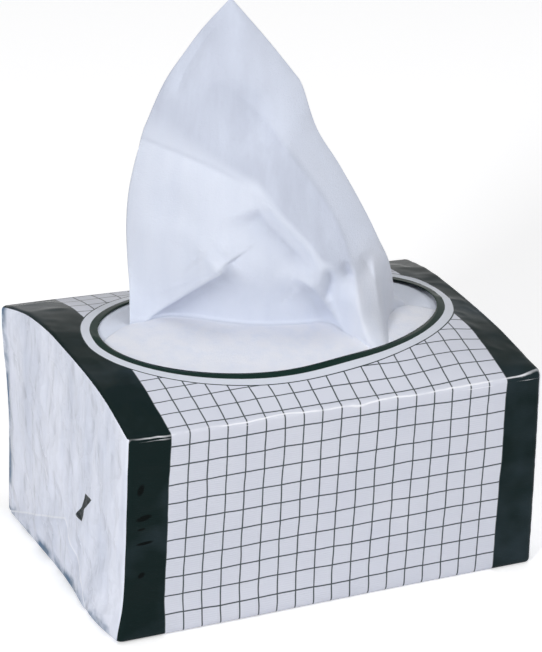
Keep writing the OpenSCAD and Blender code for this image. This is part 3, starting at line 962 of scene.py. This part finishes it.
def piled_up(tree, given, pitch, wipe):
    """The wipe repeated up a line of points, each shifted a little by a seeded draw."""
    line = tree.nodes.new("GeometryNodeMeshLine")
    tree.links.new(given["Layers"], line.inputs["Count"])
    tree.links.new(vector_of(tree, Z=times(tree, pitch, 0.5)), line.inputs["Start Location"])
    tree.links.new(vector_of(tree, Z=pitch), line.inputs["Offset"])
    shift = tree.nodes.new("FunctionNodeRandomValue")
    shift.data_type = "FLOAT_VECTOR"
    for title, reach in (("Min", times(tree, given["Shift"], -1.0)), ("Max", given["Shift"])):
        tree.links.new(vector_of(tree, X=reach, Y=reach), shift.inputs[title])
    tree.links.new(given["Seed"], shift.inputs["Seed"])
    stacked = tree.nodes.new("GeometryNodeInstanceOnPoints")
    tree.links.new(moved_by(tree, line.outputs["Mesh"], shift.outputs[0]), stacked.inputs["Points"])
    tree.links.new(wipe, stacked.inputs["Instance"])
    realized = tree.nodes.new("GeometryNodeRealizeInstances")
    tree.links.new(stacked.outputs["Instances"], realized.inputs["Geometry"])
    return realized.outputs["Geometry"]


def dome_lift(tree, given, place):
    """How far a point of the flat pile rises: not at all at the base, and to the pack's dome at the top."""

    def between(first, second, share):
        return plus(tree, first, times(tree, minus(tree, second, first), share))

    def bowl(share, power):
        return minus(tree, 1.0, maths(tree, "POWER", size_of(tree, times(tree, share, 2.0)), power))

    across = maths(tree, "DIVIDE", place["X"], given["Width"])
    away = maths(tree, "DIVIDE", place["Y"], given["Depth"])
    ends = between(given["Left rise"], given["Right rise"], plus(tree, across, 0.5))
    rise = between(ends, given["Dome rise"], bowl(across, 2.0))
    fall = plus(tree, given["Side drop"], times(tree, given["Twist"], times(tree, away, 2.0)))
    tilt = minus(tree, times(tree, given["Back lift"], away), times(tree, fall, across))
    dome = plus(tree, times(tree, rise, bowl(away, given["Crown power"])), tilt)
    return times(tree, dome, maths(tree, "DIVIDE", place["Z"], given["Height"]))


def pile_tree():
    name = "pile of folded wipes"
    tree, start, result = new_group(name, PILE_INPUTS, {"Geometry": "Geometry"}, "GeometryNodeTree")
    given = start.outputs
    parts = tree.nodes.new("ShaderNodeSeparateXYZ")
    tree.links.new(tree.nodes.new("GeometryNodeInputPosition").outputs[0], parts.inputs[0])
    place = parts.outputs
    pitch = maths(tree, "DIVIDE", given["Height"], given["Layers"])
    pile = piled_up(tree, given, pitch, folded_wipe(tree, given, pitch, place))
    domed = moved_by(tree, pile, vector_of(tree, Z=dome_lift(tree, given, place)))
    clothed = tree.nodes.new("GeometryNodeSetMaterial")
    tree.links.new(domed, clothed.inputs["Geometry"])
    tree.links.new(given["Cloth"], clothed.inputs["Material"])
    tree.links.new(clothed.outputs["Geometry"], result.inputs["Geometry"])
    return tree


def plain_mesh_from(tree, name, values):
    """Runs a tree on an empty object and keeps the result as an ordinary mesh."""
    maker = bpy.data.objects.new(name + "_maker", bpy.data.meshes.new(name + "_maker"))
    bpy.context.scene.collection.objects.link(maker)
    modifier = maker.modifiers.new(tree.name, "NODES")
    modifier.node_group = tree
    sockets = {item.name: item.identifier for item in tree.interface.items_tree if item.in_out == "INPUT"}
    for title, value in values.items():
        modifier[sockets[title]] = value
    bpy.context.view_layer.update()
    evaluated = maker.evaluated_get(bpy.context.evaluated_depsgraph_get())
    mesh = bpy.data.meshes.new_from_object(evaluated)
    mesh.name = name
    bpy.data.objects.remove(maker)
    piece = bpy.data.objects.new(name, mesh)
    bpy.context.scene.collection.objects.link(piece)
    return piece


def build_pile():
    base = pile_low.z
    pile = plain_mesh_from(pile_tree(), "folded_wipes", {
        "Width": PACK_W - PILE_END_ROOM,
        "Depth": PACK_D - PILE_WALL_ROOM,
        "Height": float(EDGE_H - PILE_TOP_ROOM - base),
        "Layers": PILE_LAYERS,
        "Dome rise": DOME_RISE,
        "Left rise": LEFT_RISE,
        "Right rise": RIGHT_RISE - PILE_RIGHT_SINK,
        "Crown power": CROWN_POWER,
        "Side drop": SIDE_DROP,
        "Twist": TWIST,
        "Back lift": BACK_LIFT,
        "Shift": PILE_SHIFT,
        "Seed": PILE_SEED,
        "Cloth": pile_cloth,
    })
    pile.data.transform(Matrix.Translation((0, 0, base)))
    print("pile triangles", sum(len(p.vertices) - 2 for p in pile.data.polygons))
    return pile


pile = build_pile()

# %% [markdown]
# The standing wipe is the piece that the eye goes to. A cloth simulation would fold it somehow, but never
# as this one is folded. So it is built like a sail: two edge curves give its outline as it is seen, a bulge
# gives it a body, and each fold of the real wipe is one line with a depth, a sharp side and a soft side.

# %% The standing wipe's outline and folds
WIPE_TURN = math.radians(-24)
WIPE_T = 0.45 * MM
WIPE_COLUMNS = 190
WIPE_ROWS = 210
PANEL_ROWS = 40
RETURN_SHARE = 0.30
ALONG = np.array([math.cos(WIPE_TURN), math.sin(WIPE_TURN)])
AWAY = np.array([-math.sin(WIPE_TURN), math.cos(WIPE_TURN)])
# Width and height of the two edges, in millimetres, from the base to the peak
LEFT_EDGE = [
    (-71.5, 118), (-72, 134), (-73.2, 150), (-74, 169), (-72.6, 189), (-67.3, 214),
    (-64.7, 222.5), (-57.2, 241.5), (-47.1, 258), (-37, 273), (-26, 286.5),
]
RIGHT_EDGE = [
    (60, 118), (58.8, 134), (55.3, 151), (47.9, 168.6), (38.9, 186), (28.8, 203.6),
    (17.5, 221.7), (10, 242.5), (5, 250), (-7.2, 265.3), (-25.4, 286.5),
]
# Width and distance away of the line where the wipe leaves the pile
BASE_LINE = [(-66, 6), (-53.5, 5), (-41, 0), (-24, -4.5), (1, -5.5), (18, -2), (36, 4), (48, -1), (59, 24)]


def through(points, t):
    """A smooth curve through points, evenly spaced in t from 0 to 1."""
    p = np.array(points, float)
    p = np.concatenate([[2 * p[0] - p[1]], p, [2 * p[-1] - p[-2]]])
    place = np.clip(np.asarray(t, float), 0, 1) * (len(p) - 3)
    i = np.minimum(place.astype(int), len(p) - 4)
    f = (place - i)[..., None]
    a, b, c, d = (p[i + k] for k in range(4))
    return 0.5 * (2 * b + (c - a) * f + (2 * a - 5 * b + 4 * c - d) * f**2 + (3 * b - a - 3 * c + d) * f**3)


# Each fold: its line as width and height, its depth towards the front, the widths of its two sides
# (left and right of the line's direction) and how its two ends fade, as shares of its length.
# A pressed fold has a kink along its line, and the others are rounded.
FOLDS = [
    # the old fold across the wipe: flat on the left, a rounded roll on the right with a hollow under it
    {"line": [(-68, 213), (-58.3, 212), (-46.7, 209.7), (-29, 204.5), (-11, 197.3)],
     "depth": -1.5, "left": 5, "right": 6, "fade": (0.0, 0.3), "pressed": True},
    {"line": [(-29, 204.5), (-11, 197.3), (-1.2, 187.6), (9, 176.7), (16.5, 168), (21.2, 158),
              (22, 148), (20.5, 139)],
     "depth": 4.2, "left": 9, "right": 4.5, "fade": (0.4, 0.3), "pressed": False},
    {"line": [(-13.2, 188), (-9, 179.5), (-0.5, 171), (9.4, 160.5), (17.8, 152.5)],
     "depth": -4.0, "left": 5, "right": 13, "fade": (0.25, 0.3), "pressed": False},
    {"line": [(22.5, 159.7), (26.4, 149.5), (26.1, 138.6), (23.6, 133)],
     "depth": -2.4, "left": 2.0, "right": 2.6, "fade": (0.3, 0.3), "pressed": False},
    # the ridge down the right, and the hollow above its start
    {"line": [(-13.8, 238.5), (-2, 223.2), (8, 209.1), (21.7, 190.3), (30.5, 174.1), (35, 162),
              (38.8, 145.8)],
     "depth": 7.5, "left": 20, "right": 17, "fade": (0.2, 0.15), "pressed": True},
    {"line": [(-34.9, 249.5), (-26.8, 243.4), (-16.9, 235.1), (-5.2, 223.6), (4.7, 216.3)],
     "depth": -4.6, "left": 8, "right": 10, "fade": (0.5, 0.3), "pressed": False},
    # the seam along the left edge
    {"line": [(-27.5, 281), (-36.9, 266.6), (-44.6, 253.9), (-49.2, 243.2), (-52.2, 233.2)],
     "depth": -2.4, "left": 4, "right": 9, "fade": (0.3, 0.4), "pressed": True},
    # the hanging left corner: its crest, the swelling above it and the bulge behind its tip
    {"line": [(-73, 110), (-61.6, 119.5), (-52, 128), (-40.5, 139.8), (-31, 150), (-21.6, 159.2)],
     "depth": 7.5, "left": 9, "right": 7, "fade": (0.0, 0.15), "pressed": True},
    {"line": [(-80, 116), (-64, 132), (-50, 146), (-38, 156)],
     "depth": 4.0, "left": 24, "right": 12, "fade": (0.1, 0.6), "pressed": False},
    {"line": [(-21.6, 159.2), (-25.7, 164.4), (-30.4, 169.3), (-36, 172)],
     "depth": 3.0, "left": 14, "right": 5, "fade": (0.05, 0.6), "pressed": True},
    # the pocket at the right of the foot, and the slits and pleats beside it
    {"line": [(6, 149.5), (14.7, 147), (21, 140), (27.4, 128), (34, 118.6), (41, 110)],
     "depth": 7.5, "left": 11, "right": 6, "fade": (0.3, 0.05), "pressed": True},
    {"line": [(32.9, 161.2), (34.8, 154.4), (36.6, 146.8)],
     "depth": -2.0, "left": 1.8, "right": 2.2, "fade": (0.35, 0.35), "pressed": False},
    {"line": [(39.1, 165.9), (44.5, 153.8), (49.5, 142.8), (52.4, 134.7)],
     "depth": -1.8, "left": 4.0, "right": 3.0, "fade": (0.35, 0.3), "pressed": True},
    {"line": [(36, 152), (39, 140), (42.5, 130), (45, 120), (46, 112)],
     "depth": 4.5, "left": 9, "right": 8, "fade": (0.4, 0.0), "pressed": False},
    # two pleats that fan out over the tail
    {"line": [(37.3, 160), (39.3, 144.7), (41.4, 130.8), (44, 118)],
     "depth": 2.6, "left": 5, "right": 2.4, "fade": (0.3, 0.1), "pressed": True},
    {"line": [(46.5, 160), (48.5, 146), (50.5, 132), (53, 118)],
     "depth": 3.4, "left": 5, "right": 2.6, "fade": (0.3, 0.1), "pressed": True},
    # a soft hollow in the left belly
    {"line": [(-58, 194), (-50, 182), (-47, 170)],
     "depth": -1.8, "left": 10, "right": 12, "fade": (0.4, 0.4), "pressed": False},
]
# Above the old fold the wipe is one layer and gets painted shade, less so beyond the ridge and near the peak.
# Both limits are given as width and height
SINGLE_ABOVE = [
    (-80, 214), (-58, 212), (-29, 204.5), (-11, 197.3), (9, 176.7), (24, 157), (40, 140), (70, 118),
]
RIDGE_ABOVE = [
    (-35, 249.5), (-27, 243.4), (-17, 235), (-5, 223), (8, 209), (21.7, 190), (30.5, 174), (35, 162),
    (39, 146), (46, 126),
]
# How softly the painted shade begins, at the left edge and further right
SINGLE_BLEND = (20, 7)
RIDGE_PALER, RIDGE_BLEND = 0.6, 6
PEAK_PALER, PEAK_FROM, PEAK_BLEND = 0.1, 238, 22
# The gathered foot at the right is painted whiter, as painted light: its share of the lying half's white, and
# where it begins and ends
FOOT_PAINTED_LIGHT, GATHERED_FROM, GATHERED_BELOW = 0.35, 33, 172
# Hollows of the folds get painted shade too. They are written as folds are, with a strength for their depth
HOLLOW_SHADES = [
    {"line": [(-68, 213.5), (-58.3, 212.4), (-46.7, 210.1), (-29, 204.9), (-11, 197.7)],
     "depth": 0.42, "left": 1.4, "right": 0.9, "fade": (0.0, 0.2), "pressed": False},
    {"line": [(-60, 118), (-49, 128), (-38, 139.5), (-29, 149.5), (-21, 158)],
     "depth": 1.2, "left": 1.5, "right": 10, "fade": (0.2, 0.15), "pressed": False},
    {"line": [(-11, 198), (-1, 189), (9, 178.5), (17.5, 170), (24.5, 159)],
     "depth": 0.6, "left": 7, "right": 1.5, "fade": (0.35, 0.1), "pressed": False},
    {"line": [(-12, 190), (-8, 181), (0, 172.5), (9.4, 162), (17.8, 153.5)],
     "depth": 0.7, "left": 1.5, "right": 8, "fade": (0.2, 0.3), "pressed": False},
    {"line": [(22.5, 159.7), (26.4, 149.5), (26.1, 138.6), (23.6, 133)],
     "depth": 0.6, "left": 1.3, "right": 1.6, "fade": (0.3, 0.3), "pressed": False},
    {"line": [(7, 147.5), (14.7, 145), (20, 138.5), (26, 128), (32, 119)],
     "depth": 0.9, "left": 1.5, "right": 7, "fade": (0.3, 0.3), "pressed": False},
    {"line": [(32.9, 161.2), (34.8, 154.4), (36.6, 146.8)],
     "depth": 0.35, "left": 1.2, "right": 1.4, "fade": (0.35, 0.35), "pressed": False},
    {"line": [(-36, 249), (-26.8, 242), (-16.9, 233.5), (-5.2, 222), (8, 206), (22, 187)],
     "depth": 0.6, "left": 1.5, "right": 9, "fade": (0.35, 0.4), "pressed": False},
]


def fold_depth(s, z, fold):
    """How far one fold stands towards the front at each width and height, in millimetres."""
    line = through(fold["line"], np.linspace(0, 1, 40))
    a, step = line[:-1], np.diff(line, axis=0)
    length = np.linalg.norm(step, axis=1)
    p = np.stack([s, z], -1)[..., None, :] - a
    share = np.clip((p * step).sum(-1) / length**2, 0, 1)
    off = p - share[..., None] * step
    far = np.linalg.norm(off, axis=-1)
    best = far.argmin(-1)

    def pick(values):
        return np.take_along_axis(values, best[..., None], -1)[..., 0]

    side = np.sign(step[best, 0] * pick(off[..., 1]) - step[best, 1] * pick(off[..., 0]))
    along = (best + pick(share)) / len(step)
    start, end = fold["fade"]
    fade = smooth(along / max(start, 1e-3)) * smooth((1 - along) / max(end, 1e-3))
    width = np.where(side > 0, fold["left"], fold["right"])
    reach = pick(far) / width
    return fold["depth"] * fade * np.exp(-reach if fold["pressed"] else -(reach**2))


print("folds on the standing wipe", len(FOLDS))

# %% [markdown]
# The sheet is one grid. Its first rows lie on the pile from the front edge to the base line. There the sheet
# turns up, and the rest of the rows climb to the peak. The last three tenths of the columns turn round
# behind on the right, so that the peak has a back and not a paper edge. That turn is a guess. The standing
# half is worked out in millimetres until the grid is turned into points.

# %% The standing wipe
PANEL_HALF_W = 105 * MM
PANEL_FRONT = -71 * MM
PANEL_DROP = 1.15 * MM
# Beside the oval the lying half is tucked a little deeper under the film
PANEL_TUCK, TUCK_FROM, TUCK_BLEND = 1.2 * MM, 90 * MM, 12 * MM
PANEL_RIPPLE = 0.35 * MM
# Rows crowd towards the foot, and columns towards both edges, less so on the left
ROW_CROWD = 1.2
ROUND_START = 0.12
BULGE = 0.20
LEAN_BACK = 6
# Shares of the height over which the sheet swings behind and settles into its bulge
SWING_OVER, SETTLE_OVER = 0.25, 0.30
FOOT_SWELL = 6
FOOT_RETURN = 8
# The tail at the right foot: how far out, where, half width, how far up, and its lean to the right
SKIRT, SKIRT_AT, SKIRT_HALF_W, SKIRT_UP, SKIRT_LEAN = 19, 47, 6.5, 7, 0.4
CORNER_OUT, CORNER_W = 9, 7
# The hem's lip and its line of painted shade, which end where the tail begins
HEM_LIP, HEM_LIFT, HEM_SHADE, HEM_SHADE_W, HEM_END = 0.9, 2.0, 0.6, 0.6, 0.68
RETURN_DEPTH, RETURN_W = 0.42, 0.78


def panel_z(p):
    """Height of the half that lies on the pile."""
    x, y = p[..., 0], p[..., 1]
    tuck = PANEL_TUCK * smooth((np.abs(x) - TUCK_FROM) / TUCK_BLEND)
    return top_z(x, y) - PANEL_DROP - tuck - right_sag(x, y)


def to_plan(s, c):
    return (s[..., None] * ALONG + c[..., None] * AWAY) * MM


def painted_cloth_light(s, z, up, behind, hem):
    """Painted shade of the single layer, the hem's line and the hollows, and painted light where the foot is
    gathered.
    """
    single_and_painted_shade, ridge = (np.interp(s, *np.array(limit, float).T) for limit in (SINGLE_ABOVE, RIDGE_ABOVE))
    painted_shade_share = smooth((z - single_and_painted_shade) / mix(*SINGLE_BLEND, smooth((s + 65) / 50)))
    beyond_ridge = smooth((z - ridge) / RIDGE_BLEND) * smooth((s + 38) / 60)
    near_peak = smooth((z - PEAK_FROM) / PEAK_BLEND)
    painted_shade_share = painted_shade_share * (1 - PEAK_PALER * near_peak) * (1 - RIDGE_PALER * beyond_ridge)
    painted_shade_share = painted_shade_share + HEM_SHADE * hem * np.exp(-((up / HEM_SHADE_W) ** 2))
    gathered_foot_light = smooth((s - GATHERED_FROM) / 8) * smooth((GATHERED_BELOW - z) / 20)
    hollow_shade = sum(fold_depth(s, z, hollow) for hollow in HOLLOW_SHADES) * (1 - smooth(behind * 3))
    return painted_shade_share * (1 - gathered_foot_light) + hollow_shade, gathered_foot_light


def standing_grid():
    """Points of the standing half by rows and columns, their painted shade, and their painted light on the
    gathered foot.
    """
    u = np.linspace(0, 1, WIPE_COLUMNS)[None, :]
    v = np.linspace(0, 1, WIPE_ROWS)[:, None] ** ROW_CROWD
    left, right = through(LEFT_EDGE, v[:, 0]), through(RIGHT_EDGE, v[:, 0])
    front_share = np.clip(u / (1 - RETURN_SHARE), 0, 1)
    behind = np.clip((u - 1 + RETURN_SHARE) / RETURN_SHARE, 0, 1)
    across = 0.5 - 0.5 * np.cos(math.pi * mix(ROUND_START, 1, front_share))
    across = (across - across[0, 0]) / (across[0, -1] - across[0, 0])
    span = (right[:, 0] - left[:, 0])[:, None]
    swing, settle = smooth(v / SWING_OVER), smooth(v / SETTLE_OVER)
    s = left[:, :1] + span * (across - RETURN_W * behind**1.4 * swing) + FOOT_SWELL * behind * (1 - swing)
    z = mix(left[:, 1:], right[:, 1:], across)
    up = z - z[:1]

    foot = through(BASE_LINE, across[0])[None, :, 1] + behind * FOOT_RETURN * (1 - swing)
    body = np.sin(math.pi * np.clip(across, 0, 1)) ** 0.8
    upper = LEAN_BACK - BULGE * span * body + behind * RETURN_DEPTH * span * (1 - 0.5 * behind) * swing
    push = sum(fold_depth(s, z, fold) for fold in FOLDS) * (1 - smooth(behind * 3)) * smooth((1 - v) / 0.04)
    hem = 1 - smooth((across - HEM_END) / 0.12)
    c = mix(foot, upper, settle) - push - HEM_LIP * hem * (1 - smooth(up / HEM_LIFT))

    in_front = 1 - smooth(behind * 4)
    tail = np.exp(-(((s[:1] - SKIRT_AT) / SKIRT_HALF_W) ** 2)) * in_front * np.exp(-up / SKIRT_UP)
    corner = np.exp(-((s[:1] - s[0, 0]) / CORNER_W)) * in_front * np.exp(-up / (3 * SKIRT_UP))
    s = s + SKIRT_LEAN * SKIRT * tail
    c = c - SKIRT * tail - CORNER_OUT * corner
    soft = 0.5 * hills(s / 17, z / 23, 41) + 0.22 * hills(s / 7, z / 9, 42)
    c = c + soft * smooth(v / 0.1) * smooth((1 - v) / 0.1)

    plan = to_plan(s, c)
    ground = panel_z(plan[0])[None, :]
    height = mix(ground, float(np.mean(ground)), smooth(v / 0.4)) + up * MM
    return np.concatenate([plan, height[..., None]], -1), *painted_cloth_light(s, z, up, behind, hem)


def lying_grid(base):
    """Points of the half that lies on the pile, from the front edge to the standing half's first row."""
    share = np.linspace(0, 1, PANEL_ROWS, endpoint=False)[:, None]
    across = mix(np.linspace(-PANEL_HALF_W, PANEL_HALF_W, WIPE_COLUMNS), base[None, :, 0], share**5)
    plan = np.stack([across, mix(PANEL_FRONT, base[None, :, 1], share)], -1)
    ripple = PANEL_RIPPLE * hills(plan[..., 0] / (30 * MM), plan[..., 1] / (16 * MM), 51)
    return np.concatenate([plan, (panel_z(plan) + ripple * smooth(share * 4))[..., None]], -1)


def build_wipe():
    standing, painted_shade_share, gathered_foot_light = standing_grid()
    rows = np.concatenate([lying_grid(standing[0]), standing])
    m, n = rows.shape[:2]
    k, j = np.meshgrid(np.arange(m - 1), np.arange(n - 1), indexing="ij")
    quads = np.stack([k * n + j, k * n + j + 1, (k + 1) * n + j + 1, (k + 1) * n + j], -1).reshape(-1, 4)
    mesh = bpy.data.meshes.new("standing_wipe")
    mesh.from_pydata(rows.reshape(-1, 3).tolist(), [], quads.tolist())
    mesh.polygons.foreach_set("use_smooth", np.ones(len(mesh.polygons), bool))
    # Painted shade of the standing half; none on the lying half
    single_and_painted_shade = np.concatenate([np.zeros((PANEL_ROWS, n)), painted_shade_share]).astype(np.float32)
    mesh.attributes.new("single_and_painted_shade", "FLOAT", "POINT").data.foreach_set("value", single_and_painted_shade.ravel())
    # The lying half's white, and painted light on the gathered foot
    lying = np.concatenate([np.ones((PANEL_ROWS, n)), FOOT_PAINTED_LIGHT * gathered_foot_light]).astype(np.float32)
    mesh.attributes.new("lying", "FLOAT", "POINT").data.foreach_set("value", lying.ravel())
    mesh.materials.append(standing_cloth)
    mesh.update()
    wipe = bpy.data.objects.new("standing_wipe", mesh)
    bpy.context.scene.collection.objects.link(wipe)
    cloth = wipe.modifiers.new("cloth thickness", "SOLIDIFY")
    cloth.thickness = WIPE_T
    cloth.offset = 0.0
    area = sum(p.area for p in mesh.polygons)
    print("wipe faces", len(mesh.polygons), "area in cm2", round(area * 1e4, 1))
    return wipe


wipe = build_wipe()

# %% [markdown]
# Last, each piece is tied to the imported body, and the imported solid that it stands for is hidden. Nothing
# on this pack moves by itself, so there is one body, called root.

for piece, node, slot in (
    (film, "film_wrapper", "printed_film"),
    (pile, "wipe_stack", "wipe_cloth"),
    (wipe, "pulled_wipe", "wipe_cloth"),
):
    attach(piece, "root")
    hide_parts(node)
